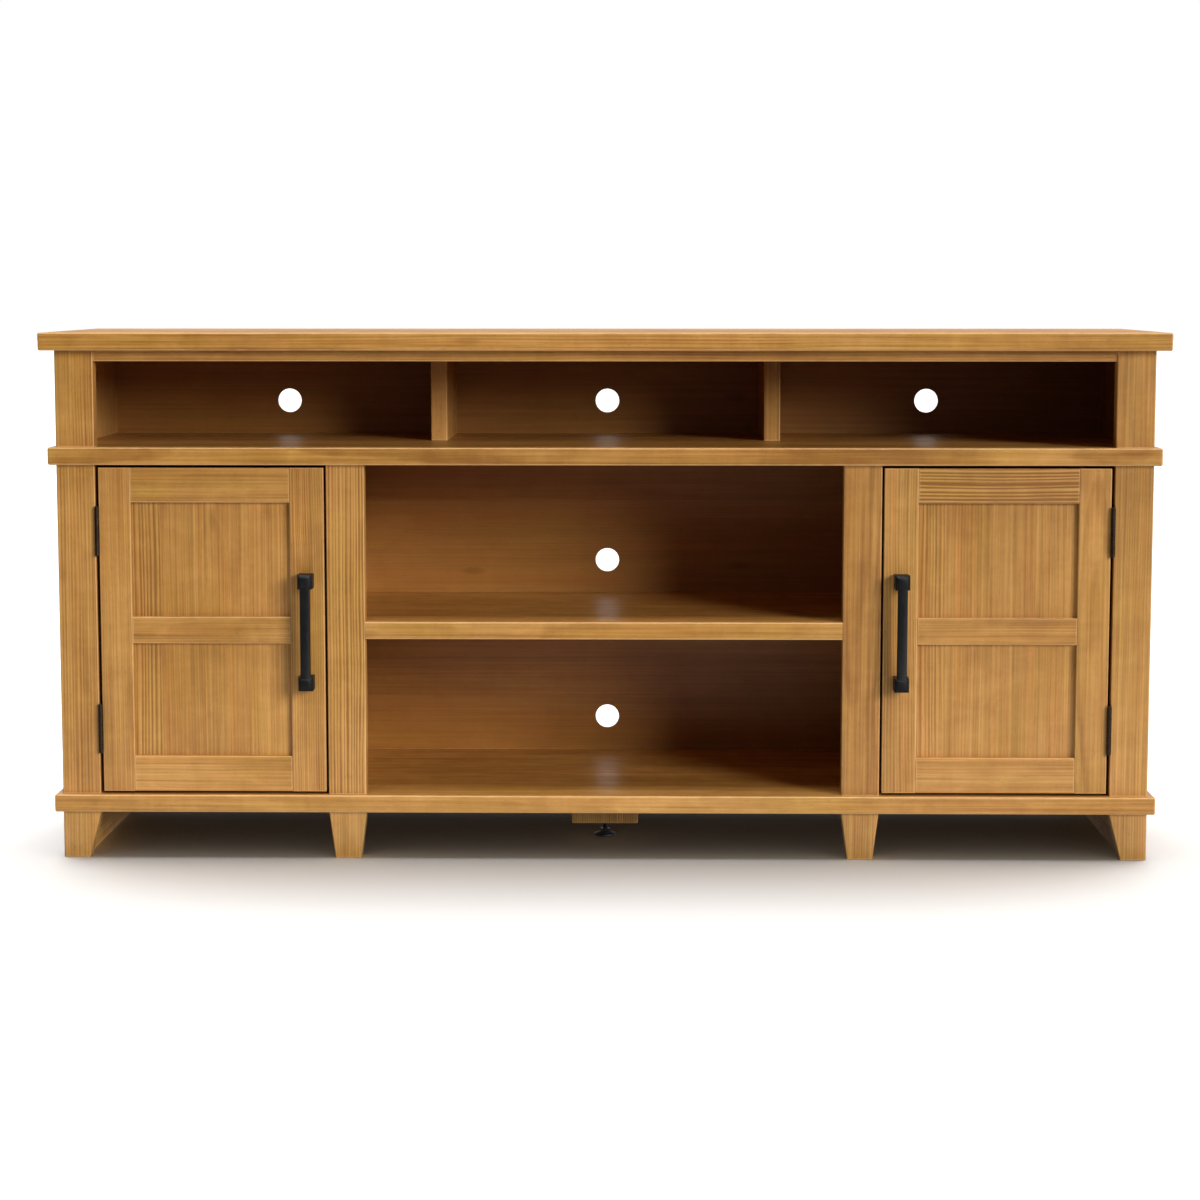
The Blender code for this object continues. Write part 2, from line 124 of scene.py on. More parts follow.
# ------------------------------------------------------------------ materials
class Nodes:
    """A little shorthand for building node trees."""

    def __init__(self, name):
        self.mat = bpy.data.materials.new(name)
        self.mat.use_nodes = True
        self.tree = self.mat.node_tree
        self.shader = self.tree.nodes["Principled BSDF"]

    def add(self, kind, **values):
        node = self.tree.nodes.new(kind)
        for key, value in values.items():
            setattr(node, key, value)
        return node

    def link(self, a, b):
        self.tree.links.new(a, b)

    def put(self, socket, value):
        if isinstance(value, bpy.types.NodeSocket):
            self.link(value, socket)
        else:
            socket.default_value = value

    def math(self, op, a, b=None, c=None, clamp=False):
        node = self.add("ShaderNodeMath", operation=op, use_clamp=clamp)
        self.put(node.inputs[0], a)
        if b is not None:
            self.put(node.inputs[1], b)
        if c is not None:
            self.put(node.inputs[2], c)
        return node.outputs[0]

    def vec(self, op, a, b=None, scale=None):
        node = self.add("ShaderNodeVectorMath", operation=op)
        self.put(node.inputs[0], a)
        if b is not None:
            self.put(node.inputs[1], b)
        if scale is not None:
            self.put(node.inputs["Scale"], scale)
        return node.outputs["Value"] if op in ("LENGTH", "DOT_PRODUCT") \
            else node.outputs[0]

    def attr(self, name, kind="Fac"):
        node = self.add("ShaderNodeAttribute", attribute_name=name)
        return node.outputs[kind]

    def noise(self, vector, detail=2.0, rough=0.5, scale=1.0, distortion=0.0,
              out="Fac"):
        node = self.add("ShaderNodeTexNoise")
        self.put(node.inputs["Vector"], vector)
        node.inputs["Scale"].default_value = scale
        node.inputs["Detail"].default_value = detail
        node.inputs["Roughness"].default_value = rough
        node.inputs["Distortion"].default_value = distortion
        return node.outputs[out]

    def ramp(self, fac, stops, kind="LINEAR"):
        node = self.add("ShaderNodeValToRGB")
        node.color_ramp.interpolation = kind
        el = node.color_ramp.elements
        while len(el) < len(stops):
            el.new(0.5)
        for e, (pos, col) in zip(el, stops):
            e.position = pos
            e.color = (*col, 1.0) if len(col) == 3 else col
        self.link(fac, node.inputs["Fac"])
        return node.outputs["Color"]

    def remap(self, value, a0, a1, b0, b1, smooth=False):
        node = self.add("ShaderNodeMapRange")
        if smooth:
            node.interpolation_type = "SMOOTHSTEP"
        self.put(node.inputs["Value"], value)
        for key, v in zip(("From Min", "From Max", "To Min", "To Max"),
                          (a0, a1, b0, b1)):
            self.put(node.inputs[key], v)
        return node.outputs["Result"]

    def mix(self, fac, a, b, blend="MIX"):
        node = self.add("ShaderNodeMix", data_type="RGBA", blend_type=blend)
        self.put(node.inputs["Factor"], fac)
        self.put(node.inputs["A"], a if isinstance(a, bpy.types.NodeSocket)
                 else (*a, 1.0))
        self.put(node.inputs["B"], b if isinstance(b, bpy.types.NodeSocket)
                 else (*b, 1.0))
        return node.outputs["Result"]

    def bump(self, height, strength, distance, normal=None):
        node = self.add("ShaderNodeBump")
        node.inputs["Strength"].default_value = strength
        node.inputs["Distance"].default_value = distance
        self.link(height, node.inputs["Height"])
        if normal is not None:
            self.link(normal, node.inputs["Normal"])
        return node.outputs["Normal"]


def wood(name, light, mid, dark, wear_and_highlight, rough=(0.38, 0.52), coat=0.25,
         coat_rough=0.2, ring_gain=1.0, figure=1.0, spec=0.45, rub_and_highlight_by=0.62,
         rub_and_highlight_to=0.0020):
    """Stained, lacquered softwood.

    Reads per-face attributes: gc, the point in the stave's own tree (metres:
    along the grain, then the two cross directions from the pith); tone, ringc
    and line, the stave's shade, growth ring contrast and ring spacing in mm;
    lc and half, the point in the board and its half size, for the edge wear
    and the painted highlight on the arrises.
    """
    n = Nodes(name)
    gc = n.attr("gc", "Vector")
    tone = n.attr("tone")
    ringc = n.attr("ringc")
    spacing = n.attr("line")

    # slow wander of the fibres, so that lines drift and cathedrals form
    slow = n.noise(n.vec("MULTIPLY", gc, (1.1, 6.0, 6.0)), 2.0, 0.5, out="Color")
    slow = n.vec("MULTIPLY", n.vec("SUBTRACT", slow, (0.5, 0.5, 0.5)),
                 (0.0, 0.030, 0.030))
    quick = n.noise(n.vec("MULTIPLY", gc, (9.0, 40.0, 40.0)), 2.0, 0.5,
                    out="Color")
    quick = n.vec("MULTIPLY", n.vec("SUBTRACT", quick, (0.5, 0.5, 0.5)),
                  (0.0, 0.0022, 0.0022))
    bent = n.vec("ADD", n.vec("ADD", gc, slow), quick)
    sep = n.add("ShaderNodeSeparateXYZ")
    n.link(bent, sep.inputs[0])
    radius = n.math("SQRT", n.math("ADD",
                                   n.math("MULTIPLY", sep.outputs[1],
                                          sep.outputs[1]),
                                   n.math("MULTIPLY", sep.outputs[2],
                                          sep.outputs[2])))
    rings = n.math("DIVIDE", n.math("MULTIPLY", radius, 1000.0), spacing)
    uneven = n.add("ShaderNodeCombineXYZ")
    n.link(n.math("MULTIPLY", radius, 55.0), uneven.inputs[0])
    rings = n.math("ADD", rings, n.math("MULTIPLY",
                                        n.noise(uneven.outputs[0], 2.0, 0.6),
                                        2.2))
    phase = n.math("FRACT", rings)
    late = n.ramp(phase, [(0.0, (0.04,) * 3), (0.34, (0.08,) * 3),
                          (0.62, (0.85,) * 3), (0.86, (1.0,) * 3),
                          (0.975, (0.30,) * 3), (1.0, (0.04,) * 3)])
    patchy = n.noise(n.vec("MULTIPLY", gc, (2.5, 30.0, 30.0)), 2.0, 0.5)
    late = n.math("MULTIPLY", late, n.remap(patchy, 0.3, 0.7, 0.45, 1.0))
    late = n.math("MULTIPLY", late, n.math("MULTIPLY", ringc, ring_gain))

    fibre = n.noise(n.vec("MULTIPLY", gc, (14.0, 1100.0, 1100.0)), 3.0, 0.65)
    streak = n.noise(n.vec("MULTIPLY", gc, (3.2, 290.0, 290.0)), 2.0, 0.6)
    band = n.noise(n.vec("MULTIPLY", gc, (0.7, 36.0, 36.0)), 2.0, 0.5)
    mottle = n.noise(n.vec("MULTIPLY", gc, (17.0, 34.0, 34.0)), 4.0, 0.62,
                     distortion=0.5)
    blotch = n.noise(n.vec("MULTIPLY", gc, (3.0, 7.0, 7.0)), 2.0, 0.5)
    smear = n.noise(n.vec("MULTIPLY", gc, (34.0, 10.0, 10.0)), 4.0, 0.62,
                    distortion=0.6)

    depth = n.math("MULTIPLY", late, 0.90)
    for part, gain in ((streak, 1.35), (band, 0.25), (fibre, 0.34),
                       (mottle, 0.72), (smear, 0.42), (blotch, 0.85)):
        depth = n.math("ADD", depth,
                       n.math("MULTIPLY", n.math("SUBTRACT", part, 0.5),
                              gain * figure))
    depth = n.math("ADD", depth, n.math("MULTIPLY", tone, 0.40))
    depth = n.math("ADD", depth, 0.32, clamp=True)
    colour = n.ramp(depth, [(0.0, light), (0.42, mid), (1.0, dark)])

    # warm and cool drift between neighbouring bands of fibre
    hue = n.noise(n.vec("MULTIPLY", gc, (2.0, 60.0, 60.0)), 2.0, 0.5)
    colour = n.mix(n.remap(hue, 0.40, 0.72, 0.0, 0.6), colour,
                   n.mix(1.0, colour, (1.10, 0.94, 0.86), "MULTIPLY"))
    olive = n.noise(n.vec("MULTIPLY", gc, (4.6, 11.0, 11.0)), 3.0, 0.55)
    colour = n.mix(n.remap(olive, 0.45, 0.66, 0.0, 0.8), colour,
                   n.mix(1.0, colour, (0.95, 0.98, 0.76), "MULTIPLY"))

    # pin knots and short dark flecks along the grain
    cell = n.add("ShaderNodeTexVoronoi", feature="SMOOTH_F1")
    n.link(n.vec("MULTIPLY", gc, (5.5, 17.0, 17.0)), cell.inputs["Vector"])
    cell.inputs["Scale"].default_value = 1.0
    cell.inputs["Smoothness"].default_value = 0.1
    knot = n.remap(cell.outputs["Distance"], 0.045, 0.13, 0.42, 0.0, smooth=True)
    colour = n.mix(knot, colour, dark)
    fleck = n.noise(n.vec("MULTIPLY", gc, (90.0, 900.0, 900.0)), 1.0, 0.5)
    fleck = n.remap(fleck, 0.66, 0.76, 0.0, 0.30)
    colour = n.mix(fleck, colour, tuple(c * 0.45 for c in dark))

    # arrises: rubbed lighter, partly real wear and partly a painted highlight of the light catching the rounded edge
    lc = n.vec("ABSOLUTE", n.attr("lc", "Vector"))
    inside = n.add("ShaderNodeSeparateXYZ")
    n.link(n.vec("SUBTRACT", n.attr("half", "Vector"), lc), inside.inputs[0])
    a, b, c = inside.outputs[:3]
    least = n.math("MINIMUM", a, n.math("MINIMUM", b, c))
    most = n.math("MAXIMUM", a, n.math("MAXIMUM", b, c))
    edge = n.math("SUBTRACT", n.math("SUBTRACT",
                                     n.math("ADD", a, n.math("ADD", b, c)),
                                     least), most)
    ragged = n.noise(n.vec("MULTIPLY", gc, (60.0, 300.0, 300.0)), 2.0, 0.5)
    edge = n.math("ADD", edge, n.math("MULTIPLY",
                                      n.math("SUBTRACT", ragged, 0.5), 0.0016))
    # lighter along the arrises: worn edges together with a painted highlight
    rub_and_highlight = n.remap(edge, 0.0003, rub_and_highlight_to, rub_and_highlight_by, 0.0, smooth=True)
    colour = n.mix(rub_and_highlight, colour, wear_and_highlight)
    n.link(colour, n.shader.inputs["Base Color"])

    sheen = n.math("ADD", n.math("MULTIPLY", mottle, 0.5),
                   n.math("MULTIPLY", streak, 0.5))
    n.link(n.remap(sheen, 0.35, 0.65, rough[0], rough[1]),
           n.shader.inputs["Roughness"])
    height = n.math("ADD", n.math("MULTIPLY", fibre, 0.5),
                    n.math("ADD", n.math("MULTIPLY", streak, 0.35),
                           n.math("MULTIPLY", late, -0.30)))
    height = n.math("SUBTRACT", height, n.math("MULTIPLY", fleck, 0.8))
    n.link(n.bump(height, 0.35, 0.00025), n.shader.inputs["Normal"])
    n.shader.inputs["Specular IOR Level"].default_value = spec
    n.shader.inputs["Coat Weight"].default_value = coat
    n.shader.inputs["Coat Roughness"].default_value = coat_rough
    n.shader.inputs["Coat IOR"].default_value = 1.5
    return n.mat


def metal(name, base, worn, rough=(0.35, 0.5), metallic=1.0, grain=900.0,
          bump=0.25, wear_at=(0.60, 0.72), coat=0.0, spec=0.5):
    """Coated or plated metal: fine orange peel, uneven sheen, rubbed spots."""
    n = Nodes(name)
    tex = n.add("ShaderNodeTexCoord").outputs["Object"]
    fine = n.noise(tex, 3.0, 0.6, scale=grain)
    cloud = n.noise(tex, 4.0, 0.6, scale=60.0)
    scuff = n.noise(n.vec("MULTIPLY", tex, (260.0, 260.0, 70.0)), 3.0, 0.55)
    mask = n.remap(scuff, wear_at[0], wear_at[1], 0.0, 0.55)
    tint = n.mix(n.remap(cloud, 0.3, 0.7, 0.0, 1.0), base,
                 tuple(c * 1.5 + 0.002 for c in base))
    n.link(n.mix(mask, tint, worn), n.shader.inputs["Base Color"])
    n.link(n.remap(cloud, 0.3, 0.7, rough[0], rough[1]),
           n.shader.inputs["Roughness"])
    n.shader.inputs["Metallic"].default_value = metallic
    n.shader.inputs["Specular IOR Level"].default_value = spec
    n.link(n.bump(fine, bump, 0.00008), n.shader.inputs["Normal"])
    n.shader.inputs["Coat Weight"].default_value = coat
    n.shader.inputs["Coat Roughness"].default_value = 0.3
    return n.mat


def moulded(name, base, light, rough=(0.45, 0.62)):
    """Moulded plastic or rubber with a fine spark-eroded texture."""
    n = Nodes(name)
    tex = n.add("ShaderNodeTexCoord").outputs["Object"]
    grain = n.noise(tex, 3.0, 0.7, scale=1400.0)
    cloud = n.noise(tex, 3.0, 0.5, scale=90.0)
    n.link(n.mix(n.remap(cloud, 0.35, 0.65, 0.0, 1.0), base, light),
           n.shader.inputs["Base Color"])
    n.link(n.remap(cloud, 0.3, 0.7, rough[0], rough[1]),
           n.shader.inputs["Roughness"])
    n.link(n.bump(grain, 0.3, 0.0001), n.shader.inputs["Normal"])
    return n.mat


LIGHT, MID, DARK = (0.610, 0.325, 0.092), (0.468, 0.229, 0.052), \
    (0.285, 0.118, 0.020)
# the rubbed edge colour: real wear and partly a painted highlight along the arrises
WEAR_AND_HIGHLIGHT = (0.760, 0.450, 0.185)
# the rubbed arrises of every wood are lighter: real wear and partly a painted highlight, strongest on the shelf boards
# and the top, weaker on the doors and panels
M_BOARD = wood("wood_board", LIGHT, MID, DARK, WEAR_AND_HIGHLIGHT)
M_TOP = wood("wood_top", LIGHT, MID, DARK, WEAR_AND_HIGHLIGHT, rough=(0.46, 0.58), coat=0.0,
             spec=0.22, rub_and_highlight_by=0.75, rub_and_highlight_to=0.0024)
M_SHELF = wood("wood_shelf", LIGHT, MID, DARK, WEAR_AND_HIGHLIGHT, coat=0.14,
               coat_rough=0.22, spec=0.36, rub_and_highlight_by=0.88, rub_and_highlight_to=0.0028)
M_DOOR = wood("wood_door", LIGHT, MID, DARK, WEAR_AND_HIGHLIGHT, rub_and_highlight_by=0.50)
M_PANEL = wood("wood_panel", (0.600, 0.315, 0.088), (0.458, 0.222, 0.050),
               (0.285, 0.117, 0.020), WEAR_AND_HIGHLIGHT, figure=0.98, rub_and_highlight_by=0.40)
M_BACK = wood("wood_back", (0.440, 0.205, 0.046), (0.340, 0.142, 0.025),
              (0.180, 0.066, 0.010), (0.480, 0.250, 0.075),
              rough=(0.40, 0.50), coat=0.15, coat_rough=0.3, ring_gain=0.32,
              figure=0.46)
M_BLACK = metal("black_metal", (0.0030, 0.0033, 0.0038), (0.016, 0.016, 0.017),
                rough=(0.42, 0.56), metallic=0.0, grain=1300.0, bump=0.35,
                spec=0.20)
M_HINGE = metal("hinge_metal", (0.030, 0.019, 0.012), (0.085, 0.055, 0.032),
                rough=(0.34, 0.52), metallic=0.9, grain=1600.0)
M_STEEL = metal("leveller_steel", (0.50, 0.50, 0.49), (0.33, 0.32, 0.30),
                rough=(0.26, 0.42), metallic=1.0, grain=2200.0, bump=0.15)
M_STEM = metal("leveller_stem_steel", (0.050, 0.046, 0.042),
               (0.120, 0.112, 0.105), rough=(0.30, 0.46), metallic=1.0,
               grain=2200.0, bump=0.15)
M_RUBBER = moulded("leveller_rubber", (0.012, 0.012, 0.013),
                   (0.024, 0.024, 0.025))
M_CATCH = moulded("catch_plastic", (0.090, 0.052, 0.028), (0.125, 0.075, 0.042))


# --------------------------------------------------------------------- boards
def staves_across(lo, hi, nominal, rnd):
    """Positions of the glue lines between staves of about the nominal width."""
    span = hi - lo
    count = max(1, round(span / nominal))
    cuts = []
    for i in range(1, count):
        cuts.append(lo + span * i / count + rnd.uniform(-0.12, 0.12)
                    * span / count)
    return cuts


def grain(ob, along, across, rnd_word, cuts=(), ringc=0.4, tone=0.0,
          line=4.6, flat=0.35, staves=None, half=None, mid=None):
    """Writes the wood attributes on an object whose mesh is in the row frame.

    along and across are axis numbers; staves may give each stave's settings as
    dictionaries with ringc, tone, line and flat.
    """
    mesh = ob.data
    normal = 3 - along - across
    co = [ob.matrix_world @ v.co for v in mesh.vertices]
    lo = Vector([min(c[k] for c in co) for k in range(3)])
    hi = Vector([max(c[k] for c in co) for k in range(3)])
    mid = (lo + hi) / 2 if mid is None else Vector(mid)
    half = (hi - lo) / 2 if half is None else Vector(half)
    names = (("gc", "FLOAT_VECTOR", "CORNER"), ("lc", "FLOAT_VECTOR", "POINT"),
             ("half", "FLOAT_VECTOR", "FACE"), ("tone", "FLOAT", "FACE"),
             ("ringc", "FLOAT", "FACE"), ("line", "FLOAT", "FACE"))
    for nm, kind, domain in names:
        old = mesh.attributes.get(nm)
        if old is not None:
            mesh.attributes.remove(old)
        mesh.attributes.new(nm, kind, domain)
    layers = {nm: mesh.attributes[nm] for nm, _, _ in names}
    settings = []
    cuts = sorted(cuts)
    for i in range(len(cuts) + 1):
        rnd = seeded("%s-%d" % (rnd_word, i))
        own = dict(ringc=ringc * rnd.uniform(0.6, 1.35),
                   tone=tone + (rnd.uniform(-0.45, 0.45) if cuts
                                else rnd.uniform(-0.15, 0.15)),
                   line=line * rnd.uniform(0.8, 1.25),
                   flat=rnd.random() < flat)
        if staves and i < len(staves) and staves[i]:
            own.update(staves[i])
        centre = mid[across] if not cuts else \
            0.5 * ((cuts[i - 1] if i else lo[across])
                   + (cuts[i] if i < len(cuts) else hi[across]))
        if own["flat"]:
            off = (rnd.uniform(-0.012, 0.012),
                   rnd.choice((-1, 1)) * rnd.uniform(0.050, 0.095))
        else:
            off = (rnd.choice((-1, 1)) * rnd.uniform(0.16, 0.30),
                   rnd.uniform(-0.03, 0.03))
        own["centre"], own["off"] = centre, off
        own["start"] = rnd.uniform(0.0, 40.0)
        settings.append(own)
    for i, c in enumerate(co):
        layers["lc"].data[i].vector = c - mid
    for poly in mesh.polygons:
        where = sum(co[v][across] for v in poly.vertices) / len(poly.vertices)
        k = sum(1 for cut in cuts if where > cut)
        own = settings[k]
        layers["half"].data[poly.index].vector = half
        layers["tone"].data[poly.index].value = own["tone"]
        layers["ringc"].data[poly.index].value = own["ringc"]
        layers["line"].data[poly.index].value = own["line"]
        for loop in poly.loop_indices:
            c = co[mesh.loops[loop].vertex_index]
            layers["gc"].data[loop].vector = (
                c[along] - mid[along] + own["start"],
                c[across] - own["centre"] + own["off"][0],
                c[normal] - mid[normal] + own["off"][1])
    return ob


def box_bm(lo, hi, planes=(), axis=Y):
    """A box between two corners, cut through at the glue lines."""
    bm = bmesh.new()
    bmesh.ops.create_cube(bm, size=1.0)
    lo, hi = Vector(lo), Vector(hi)
    bmesh.ops.scale(bm, vec=hi - lo, verts=bm.verts)
    bmesh.ops.translate(bm, vec=(lo + hi) / 2, verts=bm.verts)
    for at in planes:
        point = Vector((0, 0, 0))
        point[axis] = at
        way = Vector((0, 0, 0))
        way[axis] = 1.0
        bmesh.ops.bisect_plane(bm, geom=bm.verts[:] + bm.edges[:] + bm.faces[:],
                               plane_co=point, plane_no=way)
    return bm


def weighted_bevel(ob, wanted, width, segments=4):
    """Rounds the chosen edges: wanted(middle, direction) says how much."""
    bm = bmesh.new()
    bm.from_mesh(ob.data)
    layer = bm.edges.layers.float.get("bevel_weight_edge") or \
        bm.edges.layers.float.new("bevel_weight_edge")
    for edge in bm.edges:
        a, b = edge.verts[0].co, edge.verts[1].co
        sharp = len(edge.link_faces) == 2 and \
            edge.calc_face_angle(0.0) > math.radians(30)
        edge[layer] = wanted((a + b) / 2, (b - a).normalized()) if sharp else 0.0
    bm.to_mesh(ob.data)
    bm.free()
    mod = ob.modifiers.new("arris", "BEVEL")
    mod.width = width
    mod.segments = segments
    mod.limit_method = "WEIGHT"
    mod.harden_normals = True
    for poly in ob.data.polygons:
        poly.use_smooth = True
    ob.data.set_sharp_from_angle(angle=math.radians(32))
    return baked(ob)


def everywhere(small=1.0):
    return lambda mid, way: small


def board(node, along, across, body="cabinet", mat=None, slot="wood_board",
          width=0.002, segments=4, wanted=None, nominal=None, cuts=None,
          grow=(0, 0, 0, 0, 0, 0), shape=None, holes=(), name=None, **look):
    """The visual twin of a board: same place and size, finer surface.

    grow moves the six sides out by that many metres (low x, y, z, high x, y, z)
    to close the fitting gap where a neighbour hides it.
    """
    lo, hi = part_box(node)
    lo = Vector(lo) - Vector(grow[:3])
    hi = Vector(hi) + Vector(grow[3:])
    rnd = seeded(node)
    if cuts is None:
        cuts = staves_across(lo[across], hi[across], nominal, rnd) \
            if nominal else []
    ob = temp_object(name or node + "_look", box_bm(lo, hi, cuts, across))
    if shape:
        for v in ob.data.vertices:
            v.co = shape(v.co.copy(), lo, hi)
    if wanted is None:
        wanted = everywhere()
    if width:
        weighted_bevel(ob, lambda m, w: wanted(m, w), width, segments)
    if holes:
        cut_with(ob, list(holes))
    grain(ob, along, across, node, cuts=cuts, **look)
    ob.data.materials.clear()
    ob.data.materials.append(mat or M_BOARD)
    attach(ob, body)
    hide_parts(node)
    return ob


def towards(axis_along, side_axis, low_side, box_of, others=0.12):
    """Full rounding on the long edges of one side, a hair on all the rest."""
    lo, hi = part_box(box_of)
    level = lo[side_axis] if low_side else hi[side_axis]

    def wanted(mid, way):
        near = abs(mid[side_axis] - level) < 0.0015
        return 1.0 if near and abs(way[axis_along]) > 0.9 else others
    return wanted


def rod(name, centre, axis, radius, length, sides=32):
    """A cylinder along an axis, centred on a point; used as a cutter."""
    bm = bmesh.new()
    turn = {X: Matrix.Rotation(math.pi / 2, 4, "Y"),
            Y: Matrix.Rotation(math.pi / 2, 4, "X"), Z: Matrix.Identity(4)}[axis]
    bmesh.ops.create_cone(bm, cap_ends=True, segments=sides, radius1=radius,
                          radius2=radius, depth=length,
                          matrix=Matrix.Translation(Vector(centre)) @ turn)
    return temp_object(name, bm)


G = GAP + 0.00005

# the three long boards and the top front rail
board("top_board", X, Y, mat=M_TOP, nominal=0.083, width=0.0024, ringc=0.50,
      line=4.2, flat=0.6, tone=0.27)
board("waist_board", X, Y, mat=M_SHELF, nominal=0.080, width=0.0028,
      ringc=0.60, line=4.0, flat=0.5, tone=-0.30)
board("base_board", X, Y, mat=M_SHELF, nominal=0.080, width=0.0028, ringc=0.45,
      line=4.0, flat=0.5, tone=0.04)
lo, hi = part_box("top_front_rail")
board("top_front_rail", X, Z, width=0.0018, ringc=0.3, tone=0.12,
      grow=(G, 0, 0, G, 0, G),
      wanted=lambda m, w: 1.0 if m.z < lo.z + 0.001 and abs(w.x) > 0.9 else 0.1)

# posts
for side, s in SIDES:
    inner_low = s > 0
    for kind, ringc, line, tone, flat in (
            ("upper_post_", 0.35, 4.0, 0.05, 1.0),
            ("corner_post_", 0.45, 3.8, 0.0, 0.0),
            ("mid_post_", 1.20, 4.1, -0.62, 0.0)):
        if kind == "mid_post_" and side == "right":
            ringc, flat, tone = 0.45, 1.0, 0.45
        if kind == "upper_post_" and side == "left":
            ringc, flat, line = 0.5, 0.0, 3.6
        board(kind + side, Z, X, ringc=ringc, line=line, tone=tone,
              flat=flat, grow=(0, 0, G, 0, G, G),
              wanted=towards(Z, Y, True, kind + side, 0.05))

# side panels, partitions, dividers; rows of holes for the shelf pins
PIN_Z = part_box("side_shelf_left")[0].z - 0.0026
for side, s in SIDES:
    for node in ("upper_side_", "side_panel_"):
        holes = []
        if node == "side_panel_":
            lo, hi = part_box(node + side)
            face = lo.x if s > 0 else hi.x
            for y in (FACE + 0.090, FACE + 0.325):
                for k in range(-3, 4):
                    holes.append(rod("pin_hole", (face, y, PIN_Z + 0.032 * k),
                                     X, 0.0026, 0.016, 16))
        # painted light: the left upper side wall gets a much lighter tone to stand in for the key light that the top
        # board and rail keep off it
        painted_light_wall = node == "upper_side_" and side == "left"
        board(node + side, Z, Y, mat=M_PANEL, slot="wood_panel", width=0.0006,
              segments=2, nominal=0.09, ringc=0.35, line=4.8, flat=0.5,
              tone=-0.65 if painted_light_wall else 0.0, grow=(0, G, G, 0, 0, G),
              holes=holes)
    lo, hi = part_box("partition_" + side)
    face = hi.x if s > 0 else lo.x
    holes = []
    for y in (FACE + 0.090, FACE + 0.325):
        for k in range(-3, 4):
            holes.append(rod("pin_hole", (face, y, PIN_Z + 0.032 * k), X,
                             0.0026, 0.016, 16))
    board("partition_" + side, Z, Y, mat=M_PANEL, slot="wood_panel",
          width=0.0006, segments=2, nominal=0.09, ringc=0.35, line=4.8,
          flat=0.5, grow=(0, G, G, 0, G, G), holes=holes)
    board("divider_" + side, Z, Y, mat=M_PANEL, slot="wood_panel",
          width=0.0016, ringc=0.3, nominal=0.10, line=4.4, flat=0.5, tone=-0.05,
          grow=(0, 0, G, 0, G, G),
          wanted=towards(Z, Y, True, "divider_" + side, 0.05))


# back panels, with their cable holes
def cable_holes(points):
    return [rod("cable_hole", (x, (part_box("upper_back_panel")[0].y
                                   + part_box("upper_back_panel")[1].y) / 2, z),
                Y, 0.0175, 0.03, 64) for x, z in points]


board("upper_back_panel", X, Z, mat=M_BACK, slot="wood_back", width=0.0006,
      segments=2, nominal=0.066, ringc=0.30, line=5.5, flat=0.8,
      grow=(G, 0, G, G, 0, G),
      holes=cable_holes(((-0.473, 0.6137), (0.0, 0.6137), (0.473, 0.6137))))
board("lower_back_panel", X, Z, mat=M_BACK, slot="wood_back", width=0.0006,
      segments=2, nominal=0.076, ringc=0.30, line=5.5, flat=0.8,
      grow=(G, 0, G, G, 0, G),
      holes=cable_holes(((0.0, 0.3759), (0.0, 0.1397))))

# shelves
lo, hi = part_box("centre_shelf")
post_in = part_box("mid_post_right")[0].x
notch = []
for side, s in SIDES:
    a = Vector((min(s * post_in, s * (hi.x + 0.01)), lo.y - 0.01, lo.z - 0.01))
    b = Vector((max(s * post_in, s * (hi.x + 0.01)),
                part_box("mid_post_right")[1].y + GAP, hi.z + 0.01))
    notch.append(temp_object("notch", box_bm(a, b)))
board("centre_shelf", X, Y, mat=M_SHELF, nominal=0.078, ringc=0.35, line=4.8,
      flat=0.5, tone=0.12, width=0.0022, grow=(G, 0, 0, G, G, 0), holes=notch,
      wanted=towards(X, Y, True, "centre_shelf", 0.15))
for side, s in SIDES:
    board("side_shelf_" + side, X, Y, mat=M_PANEL, slot="wood_panel",
          nominal=0.085, ringc=0.35, width=0.0015, flat=0.5,
          wanted=towards(X, Y, True, "side_shelf_" + side, 0.3))


# feet
def foot_shape(node, bottom_in, bottom_out):
    lo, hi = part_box(node)
    centre = (lo.x + hi.x) / 2

    def shape(co, a, b):
        if co.z < (a.z + b.z) / 2:
            outer = abs(co.x) > abs(centre)
            co.x = math.copysign(bottom_out if outer else bottom_in, centre)
        return co
    return shape


for side, s in SIDES:
    for node, b_in, b_out, tone in (
            ("corner_foot_" + side, 0.7077, 0.7437, -0.32),
            ("mid_foot_" + side, 0.3336, 0.3692, -0.70 if s < 0 else -0.42)):
        board(node, Z, X, ringc=0.40, line=4.0, flat=0.0, tone=tone,
              shape=foot_shape(node, b_in, b_out), grow=(0, 0, 0, 0, 0, G),
              wanted=lambda m, w: 1.0 if m.y < FACE + 0.001
              and abs(w.z) > 0.9 else 0.25)
    board("side_foot_" + side, Y, Z, mat=M_TOP, slot="wood_panel",
          width=0.0012, ringc=0.4, grow=(0, G, 0, 0, 0, G))

# centre block
board("centre_block", Z, X, mat=M_BOARD, slot="wood_panel", width=0.0015,
      ringc=1.1, line=3.2, flat=0.0, tone=-0.75, grow=(0, 0, 0, 0, 0, G),
      holes=[rod("stem_bore", (0.0, (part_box("centre_block")[0].y
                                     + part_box("centre_block")[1].y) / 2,
                               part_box("centre_block")[0].z + 0.013),
                 Z, 0.0044, 0.048, 32)])

